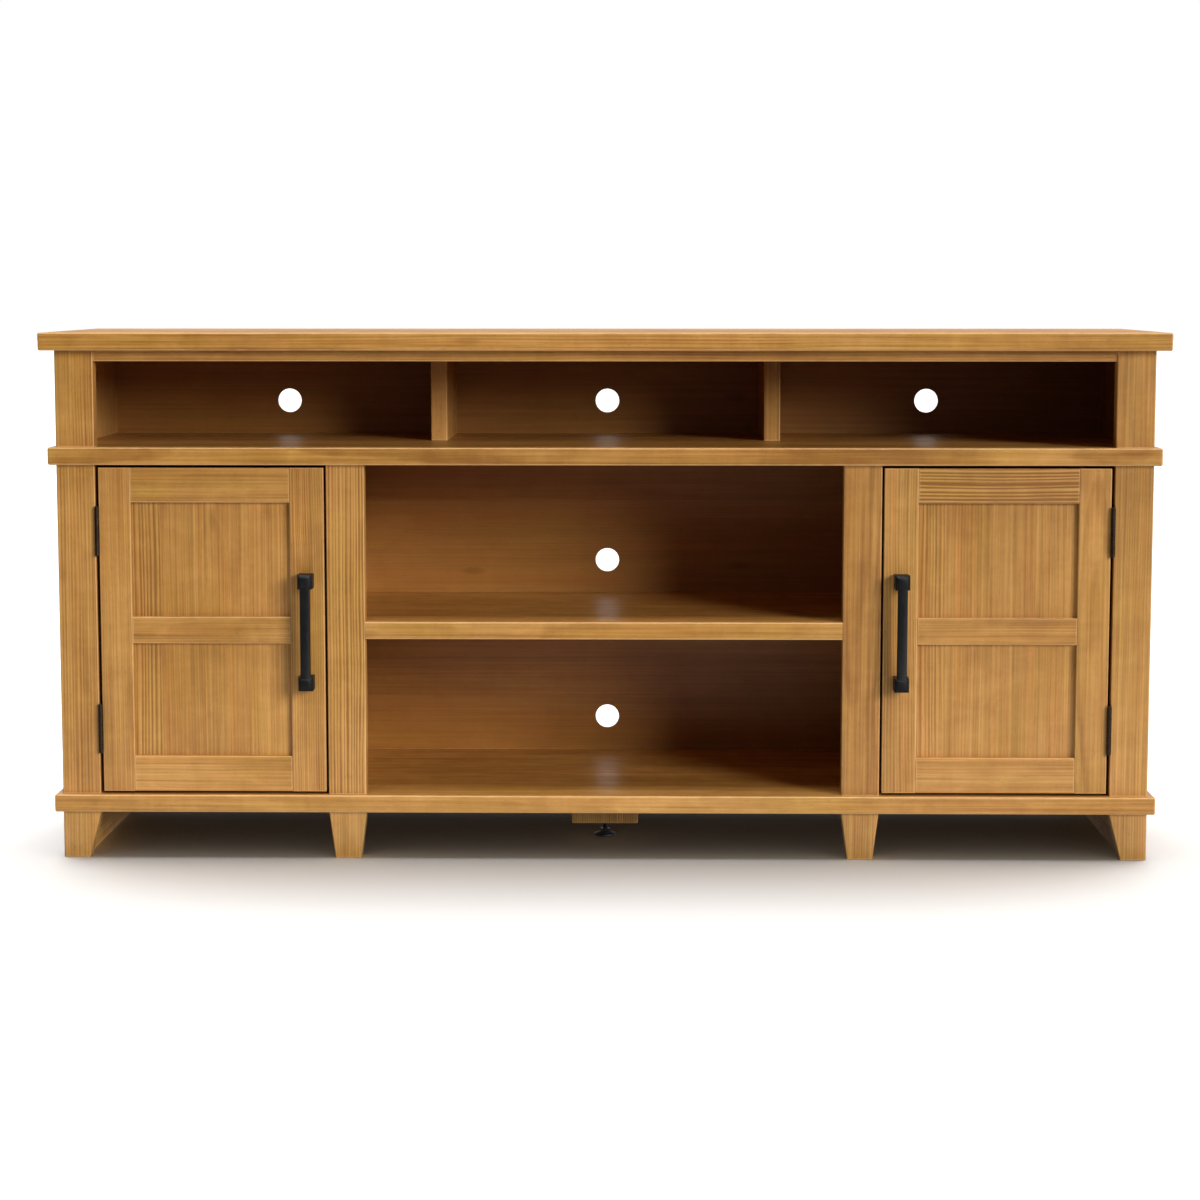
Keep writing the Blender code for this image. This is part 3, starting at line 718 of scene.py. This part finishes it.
# ---------------------------------------------------------------------- doors
for side, s in SIDES:
    body = "door_" + side
    rail_top = 1.75 if side == "right" else 0.25

    def stile_cut(node, at_low):
        """The groove that holds the panel, along one long edge of a stile."""
        lo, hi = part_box(node)
        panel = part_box("door_panel_" + side)
        depth = 0.008
        a = Vector((lo.x - 0.01 if at_low else hi.x - depth,
                    panel[0].y - GAP, lo.z - 0.01))
        b = Vector((lo.x + depth if at_low else hi.x + 0.01,
                    panel[1].y + GAP, hi.z + 0.01))
        return temp_object("groove", box_bm(a, b))

    node = "door_latch_stile_" + side
    board(node, Z, X, body=body, mat=M_DOOR,
          ringc=0.75 if side == "left" else 0.45, line=3.7, flat=0.0, tone=-0.2, wanted=towards(Z, Y, True, node, 0.35),
          width=0.0018, holes=[stile_cut(node, s < 0)])
    node = "door_hinge_stile_" + side
    board(node, Z, X, body=body, mat=M_DOOR, ringc=0.30, line=4.2, flat=0.4,
          tone=0.10,
          wanted=towards(Z, Y, True, node, 0.35), width=0.0018,
          holes=[stile_cut(node, s > 0)])
    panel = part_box("door_panel_" + side)
    for rail, low in (("top", False), ("bottom", True)):
        node = "door_%s_rail_%s" % (rail, side)
        lo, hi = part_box(node)
        x0, x1 = sorted((s * (0.4272 - 0.00002), s * (0.6434 + 0.00002)))
        grow = (x0 * 0, 0, 0, 0, 0, 0)
        z_cut = (hi.z - 0.008, hi.z + 0.01) if low else (lo.z - 0.01,
                                                         lo.z + 0.008)
        cutter = temp_object("groove", box_bm(
            Vector((lo.x - 0.01, panel[0].y - GAP, z_cut[0])),
            Vector((hi.x + 0.01, panel[1].y + GAP, z_cut[1]))))
        shrink = lo.x - x0
        board(node, X, Z, body=body, mat=M_DOOR, width=0.0018,
              line=5.6 if rail_top > 1.0 and not low else 4.6,
              ringc=rail_top if not low else 0.25,
              flat=0.0 if (side == "right" and not low) else 0.3,
              grow=(shrink, 0, 0, x1 - hi.x, 0, 0), holes=[cutter],
              tone=-0.15 if low else (-0.62 if side == "right" else 0.24),
              wanted=towards(X, Y, True, node, 0.08))
    node = "door_mid_rail_" + side
    board(node, X, Z, body=body, mat=M_DOOR, width=0.0018, ringc=0.40,
          line=4.0, flat=0.5, grow=(0.0003, 0, 0, 0.0003, GAP, 0), tone=0.08,
          wanted=towards(X, Y, True, node, 0.08))
    node = "door_panel_" + side
    lo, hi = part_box(node)
    left = lo.x
    cuts = [left + 0.0075 + w for w in (0.038, 0.098, 0.160)]
    board(node, Z, X, body=body, mat=M_PANEL, slot="wood_panel", width=0.0,
          cuts=cuts, ringc=0.30, line=3.6, flat=0.5,
          staves=[dict(ringc=0.80, line=5.2, tone=-0.22, flat=False),
                  dict(ringc=0.30, tone=0.0, line=4.0, flat=False),
                  dict(ringc=0.16, tone=0.14, flat=True),
                  dict(ringc=0.30, tone=-0.02, line=3.8, flat=False)])

# ------------------------------------------------------------------- hardware
def turned(profile, centre, axis=Z, sides=40, closed=False, up=1.0):
    """A lathe shape: (radius, height) pairs turned about an axis."""
    bm = bmesh.new()
    rings = []
    for r, h in profile:
        if r <= 0.0:
            rings.append([bm.verts.new((0, 0, h))])
        else:
            rings.append([bm.verts.new((r * math.cos(2 * math.pi * k / sides),
                                        r * math.sin(2 * math.pi * k / sides),
                                        h)) for k in range(sides)])
    pairs = list(zip(rings, rings[1:]))
    if closed:
        pairs.append((rings[-1], rings[0]))
    for a, b in pairs:
        for k in range(sides):
            m = (k + 1) % sides
            if len(a) == 1:
                bm.faces.new((a[0], b[m], b[k]))
            elif len(b) == 1:
                bm.faces.new((a[k], a[m], b[0]))
            else:
                bm.faces.new((a[k], a[m], b[m], b[k]))
    bmesh.ops.recalc_face_normals(bm, faces=bm.faces)
    turn = {X: Matrix.Rotation(math.pi / 2 * up, 4, "Y"),
            Y: Matrix.Rotation(-math.pi / 2 * up, 4, "X"),
            Z: Matrix.Identity(4) if up > 0
            else Matrix.Rotation(math.pi, 4, "X")}[axis]
    bm.transform(Matrix.Translation(Vector(centre)) @ turn)
    return bm


def rounded_block(lo, hi, bevel=0.0003, segments=2):
    lo, hi = [Vector(map(f, zip(lo, hi))) for f in (min, max)]
    ob = temp_object("block", box_bm(lo, hi))
    if bevel:
        weighted_bevel(ob, everywhere(), bevel, segments)
    bm = bmesh.new()
    bm.from_mesh(ob.data)
    mesh = ob.data
    bpy.data.objects.remove(ob, do_unlink=True)
    bpy.data.meshes.remove(mesh)
    return bm


def gather(name, shells, mat, body, replaces=None, angle=32):
    """One piece out of several closed shells."""
    bm = bmesh.new()
    for shell in shells:
        mesh = bpy.data.meshes.new("shell")
        shell.to_mesh(mesh)
        shell.free()
        bm.from_mesh(mesh)
        bpy.data.meshes.remove(mesh)
    ob = temp_object(name, bm)
    return finished(ob, mat, body, replaces, angle)


def finished(ob, mat, body, replaces=None, angle=32):
    for poly in ob.data.polygons:
        poly.use_smooth = True
    ob.data.set_sharp_from_angle(angle=math.radians(angle))
    ob.data.materials.clear()
    ob.data.materials.append(mat)
    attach(ob, body)
    if replaces:
        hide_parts(replaces)
    return ob


def bm_object(name, bm):
    return temp_object(name, bm)


def drop_strays(ob):
    """Removes any face that a cut left standing inside the solid."""
    bm = bmesh.new()
    bm.from_mesh(ob.data)
    bmesh.ops.remove_doubles(bm, verts=bm.verts, dist=1e-6)
    stray = [f for f in bm.faces if all(len(e.link_faces) > 2 for e in f.edges)]
    bmesh.ops.delete(bm, geom=stray, context="FACES_ONLY")
    bm.to_mesh(ob.data)
    bm.free()


def screw(kind, centre, axis, up, radius=0.0034):
    """A cross-recess screw head; its seat is at the centre point."""
    r = radius
    if kind == "pan":
        profile = [(0.0, -0.0006), (r * 0.5, -0.0006), (r * 0.96, 0.0),
                   (r, r * 0.16), (r * 0.97, r * 0.36), (r * 0.84, r * 0.54),
                   (r * 0.6, r * 0.64), (r * 0.3, r * 0.68), (0.0, r * 0.69)]
        top = r * 0.69
    else:
        profile = [(0.0, -r * 0.62), (r * 0.42, -r * 0.62), (r * 0.97, -r * 0.07),
                   (r, 0.0), (r * 0.93, r * 0.035), (r * 0.5, r * 0.06),
                   (0.0, r * 0.065)]
        top = r * 0.065
    head = bm_object("head", turned(profile, (0, 0, 0), Z, 28))
    cutters = []
    for turn in (0.3, 0.3 + math.pi / 2):
        bar = box_bm((-r * 0.55, -r * 0.11, top - r * 0.42),
                     (r * 0.55, r * 0.11, top + r))
        bar.transform(Matrix.Rotation(turn, 4, "Z"))
        cutters.append(bm_object("slot", bar))
    cut_with(head, cutters)
    bm = bmesh.new()
    bm.from_mesh(head.data)
    mesh = head.data
    bpy.data.objects.remove(head, do_unlink=True)
    bpy.data.meshes.remove(mesh)
    turn = {X: Matrix.Rotation(math.pi / 2 * up, 4, "Y"),
            Y: Matrix.Rotation(-math.pi / 2 * up, 4, "X"),
            Z: Matrix.Identity(4) if up > 0
            else Matrix.Rotation(math.pi, 4, "X")}[axis]
    bm.transform(Matrix.Translation(Vector(centre)) @ turn)
    return bm


# bar pulls: chamfered square ends and the bar between them
for side, s in SIDES:
    lo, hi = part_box("handle_" + side)
    mid = (lo + hi) / 2
    block = hi.x - lo.x
    ends = []
    for z0 in (lo.z, hi.z - block):
        end = temp_object("end", box_bm((lo.x, lo.y, z0),
                                        (hi.x, hi.y, z0 + block)))
        weighted_bevel(end, lambda m, w: 1.0 if m.y < lo.y + 0.0005 else 0.0,
                       0.0042, 1)
        ends.append(end)
    bar = temp_object("bar", box_bm((mid.x - 0.0066, lo.y + 0.0012,
                                     lo.z + block / 2),
                                    (mid.x + 0.0066, lo.y + 0.0112,
                                     hi.z - block / 2)))
    weighted_bevel(bar, lambda m, w: 1.0 if abs(w.z) > 0.9 else 0.0, 0.0015, 2)
    pull = ends[0]
    pull.name = "pull_" + side
    cut_with(pull, [bar], "UNION")
    cut_with(pull, [ends[1]], "UNION")
    for poly in pull.data.polygons:
        poly.use_smooth = True
    mod = pull.modifiers.new("edge", "BEVEL")
    mod.width = 0.00035
    mod.segments = 2
    mod.limit_method = "ANGLE"
    mod.angle_limit = math.radians(28)
    mod.harden_normals = True
    baked(pull)
    finished(pull, M_BLACK, "door_" + side, "handle_" + side, 40)

# butt hinges: bored knuckles, countersunk leaves, pins and screws
for side, s in SIDES:
    for place in ("upper", "lower"):
        stem = "hinge_%s_%s_" % (place, side)
        pin_lo, pin_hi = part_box(stem + "pin")
        leaf_lo, leaf_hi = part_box(stem + "post_leaf")
        ax, ay = (pin_lo.x + pin_hi.x) / 2, (pin_lo.y + pin_hi.y) / 2
        z0, z1 = leaf_lo.z, leaf_hi.z
        step = (z1 - z0) / 5
        for which, own, body in (("post_leaf", (0, 2, 4), "cabinet"),
                                 ("door_leaf", (1, 3), "door_" + side)):
            lo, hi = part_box(stem + which)
            outer = which == "post_leaf"
            # the plate's two faces: the one against the wood, and the other
            wood_x = s * 0.6912 if outer else s * 0.6875
            open_x = wood_x - s * 0.0014 if outer else wood_x + s * 0.0014
            plate = temp_object("plate", box_bm(
                (min(wood_x, open_x), ay + 0.0034, z0),
                (max(wood_x, open_x), hi.y, z1)))
            parts = []
            for k in own:
                za = z0 if k == 0 else z0 + k * step + 0.00015
                zb = z1 if k == 4 else z0 + (k + 1) * step - 0.00015
                # a hair smaller than its neighbours, so that no faces coincide
                t = 0.00006
                parts.append(temp_object("tab", box_bm(
                    (min(wood_x, open_x) + t, ay + 0.0021, za + 2 * t),
                    (max(wood_x, open_x) - t, ay + 0.0060, zb - 2 * t))))
                r, c = 0.00305, 0.00025
                parts.append(bm_object("knuckle", turned(
                    [(0, za), (r - c, za), (r, za + c), (r, zb - c),
                     (r - c, zb), (0, zb)], (ax, ay, 0), Z, 40)))
            cutters = []
            screws = []
            face_up = -s if outer else s
            for k, dz in enumerate((-0.0235, 0.0, 0.0235)):
                y = ay + (0.0105 if k == 1 else 0.0150)
                z = (z0 + z1) / 2 + dz
                r = 0.0026
                cutters.append(bm_object("sink", turned(
                    [(0, -0.0030), (r * 0.42, -0.0030), (r * 0.42, -r * 0.62),
                     (r * 1.04, 0.0), (r * 1.04, 0.001), (0, 0.001)],
                    (open_x, y, z), X, 28, up=face_up)))
                screws.append(screw("flat", (open_x - face_up * 0.00012, y, z),
                                    X, face_up, 0.0026))
            cut_with(plate, cutters)
            cut_with(plate, parts, "UNION")
            cut_with(plate, [bm_object("bore", turned(
                [(0, z0 - 0.01), (0.0017, z0 - 0.01), (0.0017, z1 + 0.01),
                 (0, z1 + 0.01)], (ax, ay, 0), Z, 32))])
            drop_strays(plate)
            plate.name = stem + which + "_look"
            finished(plate, M_HINGE, body, stem + which)
            gather(stem + which + "_screws", screws, M_HINGE,
                   body)
        r = 0.0014
        gather(stem + "pin_look", [turned(
            [(0, pin_lo.z), (r * 0.5, pin_lo.z + 0.00008),
             (r * 0.9, pin_lo.z + 0.0004), (r, pin_lo.z + 0.0008),
             (r, z1 + 0.0003), (0.0024, z1 + 0.0003), (0.0026, z1 + 0.0005),
             (0.0026, z1 + 0.0009), (0.0022, z1 + 0.0014),
             (0.0014, z1 + 0.00175), (0, pin_hi.z)], (ax, ay, 0), Z, 32)],
            M_HINGE, "cabinet", stem + "pin")

# magnetic catches on the partitions, strike plates and pull screws on the doors
DOOR_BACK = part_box("door_latch_stile_left")[1].y
for side, s in SIDES:
    lo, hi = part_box("catch_" + side)
    wall = lo.x if s > 0 else hi.x
    far = hi.x if s > 0 else lo.x
    zc = (lo.z + hi.z) / 2
    shells = [rounded_block((wall, lo.y + 0.0008, zc - 0.0125),
                            (far, hi.y, zc + 0.0125), 0.0012, 3),
              rounded_block((wall, lo.y + 0.0062, lo.z),
                            (wall + s * 0.0028, hi.y - 0.0016, zc - 0.0126),
                            0.0006, 2),
              rounded_block((wall, lo.y + 0.0062, zc + 0.0126),
                            (wall + s * 0.0028, hi.y - 0.0016, hi.z),
                            0.0006, 2)]
    gather("catch_body_" + side, shells, M_CATCH, "cabinet",
           "catch_" + side)
    plates = [rounded_block((wall + s * 0.0030, lo.y, zc + dz - 0.0007),
                            (far - s * 0.0022, lo.y + 0.0030, zc + dz + 0.0007),
                            0.0002, 2) for dz in (-0.0062, 0.0062)]
    ear_y = (lo.y + 0.0062 + hi.y - 0.0016) / 2
    plates += [screw("pan", (wall + s * 0.0028, ear_y, zc + dz), X, s, 0.0027)
               for dz in (-0.0163, 0.0163)]
    gather("catch_steel_" + side, plates, M_STEEL, "cabinet")

    x0 = s * 0.3814
    strike = temp_object("strike_plate_" + side, box_bm(
        (min(x0, x0 + s * 0.0120), DOOR_BACK, zc - 0.0160),
        (max(x0, x0 + s * 0.0120), DOOR_BACK + 0.0010, zc + 0.0160)))
    weighted_bevel(strike, lambda m, w: 1.0 if abs(w.y) > 0.9 else 0.08,
                   0.0030, 4)
    mid = (x0 + s * 0.0060, DOOR_BACK + 0.0010, zc)
    cut_with(strike, [bm_object("sink", turned(
        [(0, -0.0030), (0.0011, -0.0030), (0.0011, -0.0016), (0.0027, 0.0),
         (0.0027, 0.001), (0, 0.001)], mid, Y, 28))])
    finished(strike, M_STEEL, "door_" + side)
    hx = (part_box("handle_" + side)[0].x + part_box("handle_" + side)[1].x) / 2
    hlo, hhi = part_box("handle_" + side)
    shells = [screw("flat", (mid[0], mid[1] - 0.0001, mid[2]), Y, 1, 0.0026)]
    for z in (hlo.z + 0.0098, hhi.z - 0.0098):
        shells.append(turned([(0, 0), (0.0058, 0), (0.0060, 0.0002),
                              (0.0060, 0.0007), (0.0058, 0.0009), (0, 0.0009)],
                             (hx, DOOR_BACK, z), Y, 36))
        shells.append(screw("pan", (hx, DOOR_BACK + 0.0009, z), Y, 1, 0.0040))
    gather("door_screws_" + side, shells, M_STEEL,
           "door_" + side)

# shelf pins under the adjustable shelves
for side, s in SIDES:
    lo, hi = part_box("side_shelf_" + side)
    shells = []
    faces = (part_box("partition_" + side)[1 if s > 0 else 0].x,
             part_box("side_panel_" + side)[0 if s > 0 else 1].x)
    for face, way in zip(faces, (s, -s)):
        for y in (FACE + 0.090, FACE + 0.325):
            r = 0.00245
            shells.append(turned(
                [(0, -0.0070), (r * 0.8, -0.0070), (r, -0.0064), (r, 0.0070),
                 (r * 0.85, 0.0078), (r * 0.4, 0.0082), (0, 0.0083)],
                (face, y, lo.z - 0.0026), X, 24, up=way))
    gather("shelf_pins_" + side, shells, M_STEEL, "cabinet")

# screws round the back panels
lo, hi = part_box("upper_back_panel")
heads = []
for node, xs in (("upper_back_panel", (-0.47, -0.2355, 0.0, 0.2355, 0.47)),
                 ("lower_back_panel", (-0.53, -0.345, -0.17, 0.0, 0.17, 0.345,
                                       0.53))):
    lo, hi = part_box(node)
    for x in (lo.x + 0.010,) + xs + (hi.x - 0.010,):
        for z in (lo.z + 0.010, hi.z - 0.010):
            heads.append(screw("flat", (x, hi.y + 0.00002, z), Y, 1, 0.0036))
gather("back_screws", heads, M_STEEL, "cabinet")

# the levelling foot: threaded stem with its hex, and a ribbed pad
lo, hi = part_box("leveller_stem")
pad_lo, pad_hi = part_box("leveller_pad")
lx, ly = (pad_lo.x + pad_hi.x) / 2, (pad_lo.y + pad_hi.y) / 2
PITCH, MAJOR, MINOR, SIDES_N = 0.00125, 0.0040, 0.00345, 28
hex_top = 0.0103
bm = bmesh.new()
rows = []
count = int((hi.z - 0.0006 - hex_top) / (PITCH / 8))
for row in range(count + 1):
    z = hex_top - 0.0002 + row * PITCH / 8
    fade = min(1.0, row / 6.0, (count - row) / 10.0)
    ring = []
    for k in range(SIDES_N):
        t = (z / PITCH - k / SIDES_N) % 1.0
        tri = 1.0 - abs(2.0 * t - 1.0)
        r = MINOR + (MAJOR - MINOR) * min(1.0, tri * 1.25) * fade
        a = 2 * math.pi * k / SIDES_N
        ring.append(bm.verts.new((lx + r * math.cos(a), ly + r * math.sin(a),
                                  z)))
    rows.append(ring)
for a, b in zip(rows, rows[1:]):
    for k in range(SIDES_N):
        m = (k + 1) % SIDES_N
        bm.faces.new((a[k], a[m], b[m], b[k]))
bm.faces.new(rows[-1])
bm.faces.new(rows[0][::-1])
bmesh.ops.recalc_face_normals(bm, faces=bm.faces)
hexagon = bm_object("hexagon", turned(
    [(0, lo.z), (0.0075, lo.z), (0.0075, hex_top), (0, hex_top)],
    (lx, ly, 0), Z, 6))
barrel = bm_object("barrel", turned(
    [(0, lo.z), (0.0066, lo.z), (0.0076, lo.z + 0.0007),
     (0.0076, hex_top - 0.0007), (0.0066, hex_top), (0, hex_top)],
    (lx, ly, 0), Z, 48))
cut_with(hexagon, [barrel], "INTERSECT")
nut = bmesh.new()
nut.from_mesh(hexagon.data)
mesh = hexagon.data
bpy.data.objects.remove(hexagon, do_unlink=True)
bpy.data.meshes.remove(mesh)
gather("leveller_thread", [bm, nut], M_STEM,
       "leveller_screw", "leveller_stem", 28)
R = (pad_hi.x - pad_lo.x) / 2
a, b = pad_lo.z, pad_hi.z
gather("leveller_pad_look", [turned(
    [(0, a), (R * 0.55, a), (R * 0.58, a + 0.0004), (R * 0.66, a + 0.0004),
     (R * 0.69, a), (R * 0.80, a), (R * 0.83, a + 0.0004),
     (R * 0.90, a + 0.0004), (R * 0.93, a), (R * 0.97, a + 0.0002),
     (R, a + 0.0007), (R, a + 0.0019), (R * 0.985, a + 0.0024),
     (R * 0.93, a + 0.0027), (R * 0.90, a + 0.0030), (R * 0.70, a + 0.0038),
     (R * 0.66, b - 0.0006), (R * 0.63, b - 0.0002), (R * 0.58, b), (0, b)],
    (lx, ly, 0), Z, 64)], M_RUBBER, "leveller_foot",
    "leveller_pad", 40)
block_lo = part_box("centre_block")[0].z
gather("leveller_insert", [turned(
    [(0.0044, block_lo - 0.0005), (0.0092, block_lo - 0.0005),
     (0.0096, block_lo - 0.0003), (0.0096, block_lo - 0.0001),
     (0.0092, block_lo), (0.0044, block_lo)], (lx, ly, 0), Z, 48, closed=True)],
    M_STEEL, "cabinet")

# ---------------------------------------------------------------------- stage
bm = bmesh.new()
bmesh.ops.create_circle(bm, cap_ends=True, segments=96, radius=40.0)
floor = temp_object("floor", bm)
floor.location.z = -0.0002
n = Nodes("floor_paint")
tex = n.add("ShaderNodeTexCoord").outputs["Object"]
n.link(n.mix(n.noise(tex, 3.0, 0.5, scale=0.8), (0.80, 0.80, 0.80),
             (0.83, 0.83, 0.83)), n.shader.inputs["Base Color"])
n.shader.inputs["Roughness"].default_value = 0.7
n.shader.inputs["Specular IOR Level"].default_value = 0.0
floor.data.materials.append(n.mat)
floor.visible_diffuse = False
floor.visible_glossy = False

# a dark studio flag just under the base board: keeps the floor there in the
# deep shade that a heavy, low cabinet casts
near, rear = FACE + 0.006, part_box("lower_back_panel")[1].y + 0.06
bm = bmesh.new()
bmesh.ops.create_grid(bm, x_segments=1, y_segments=1, size=0.5)
bmesh.ops.scale(bm, vec=(1.44, rear - near, 1.0), verts=bm.verts)
flag = temp_object("flag", bm)
flag.location = (0.0, (near + rear) / 2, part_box("base_board")[0].z - 0.0016)
n = Nodes("flag_cloth")
n.shader.inputs["Base Color"].default_value = (0.16, 0.072, 0.020, 1.0)
flag.data.materials.append(n.mat)
flag.visible_camera = False
flag.visible_glossy = False
flag.visible_transmission = False


def sun(name, azimuth, elevation, strength, angle, color=(1, 1, 1)):
    """Azimuth is measured from the cabinet's front (-Y) towards +X."""
    data = bpy.data.lights.new(name, "SUN")
    data.energy = strength
    data.angle = math.radians(angle)
    data.color = color
    ob = bpy.data.objects.new(name, data)
    a, e = math.radians(azimuth), math.radians(elevation)
    away = Vector((math.sin(a) * math.cos(e), -math.cos(a) * math.cos(e),
                   math.sin(e)))
    ob.rotation_euler = away.to_track_quat("Z", "Y").to_euler()
    ob.location = away * 4.0
    bpy.context.scene.collection.objects.link(ob)
    return ob


def lights_only(light, objects, include=True):
    """Keeps a light to some objects, or off them."""
    group = bpy.data.collections.new(light.name + "_set")
    for ob in objects:
        group.objects.link(ob)
    light.light_linking.receiver_collection = group
    for item in group.collection_objects:
        item.light_linking.link_state = "INCLUDE" if include else "EXCLUDE"


key = sun("key", 42.0, 16.0, 2.62, 24.0, (1.0, 0.985, 0.96))
lights_only(key, [floor], include=False)
top = sun("top", 0.0, 84.0, 2.6, 34.0)
lights_only(top, [floor], include=False)
wash = sun("floor_wash", 180.0, 72.0, 4.4, 62.0)
lights_only(wash, [floor])
low = sun("floor_front", 0.0, 30.0, 0.72, 120.0, (1.0, 0.86, 0.66))
lights_only(low, [floor])

# a white card low in front of the cabinet: the light a pale floor throws back
card_data = bpy.data.lights.new("floor_card", "AREA")
card_data.shape = "RECTANGLE"
card_data.size = 3.6
card_data.size_y = 1.25
card_data.energy = 0.76 * math.pi * card_data.size * card_data.size_y
card = bpy.data.objects.new("floor_card", card_data)
card.location = (0.0, FRONT - 0.03 - card_data.size_y / 2, 0.003)
card.rotation_euler = (math.pi, 0.0, 0.0)
card.visible_camera = False
bpy.context.scene.collection.objects.link(card)

# the studio: a white backdrop behind the cabinet, a dim room in front of it
world = bpy.data.worlds.new("studio")
bpy.context.scene.world = world
world.use_nodes = True
tree = world.node_tree


def world_range(value, a0, a1, b0, b1):
    node = tree.nodes.new("ShaderNodeMapRange")
    node.interpolation_type = "SMOOTHSTEP"
    tree.links.new(value, node.inputs["Value"])
    for socket, v in zip(("From Min", "From Max", "To Min", "To Max"),
                         (a0, a1, b0, b1)):
        node.inputs[socket].default_value = v
    return node.outputs["Result"]


def world_math(op, a, b):
    node = tree.nodes.new("ShaderNodeMath")
    node.operation = op
    for socket, v in zip(node.inputs, (a, b)):
        if isinstance(v, bpy.types.NodeSocket):
            tree.links.new(v, socket)
        else:
            socket.default_value = v
    return node.outputs[0]


back = tree.nodes["Background"]
where = tree.nodes.new("ShaderNodeTexCoord")
split = tree.nodes.new("ShaderNodeSeparateXYZ")
path = tree.nodes.new("ShaderNodeLightPath")
tree.links.new(where.outputs["Generated"], split.inputs[0])
behind = world_range(split.outputs["Y"], -0.10, 0.45, 0.0, 1.0)
above = world_range(split.outputs["Z"], 0.15, 0.55, 0.0, 1.0)
above = world_math("MAXIMUM", above, path.outputs["Is Glossy Ray"])
level = world_math("MULTIPLY", behind, above)
level = world_math("MULTIPLY", level, world_range(split.outputs["Z"], -0.02,
                                                  0.03, 0.0, 1.0))
level = world_math("ADD", world_math("MULTIPLY", level, 0.95), 0.070)
level = world_math("MAXIMUM", level, path.outputs["Is Camera Ray"])
tree.links.new(level, back.inputs["Strength"])
back.inputs["Color"].default_value = (1.0, 1.0, 1.0, 1.0)
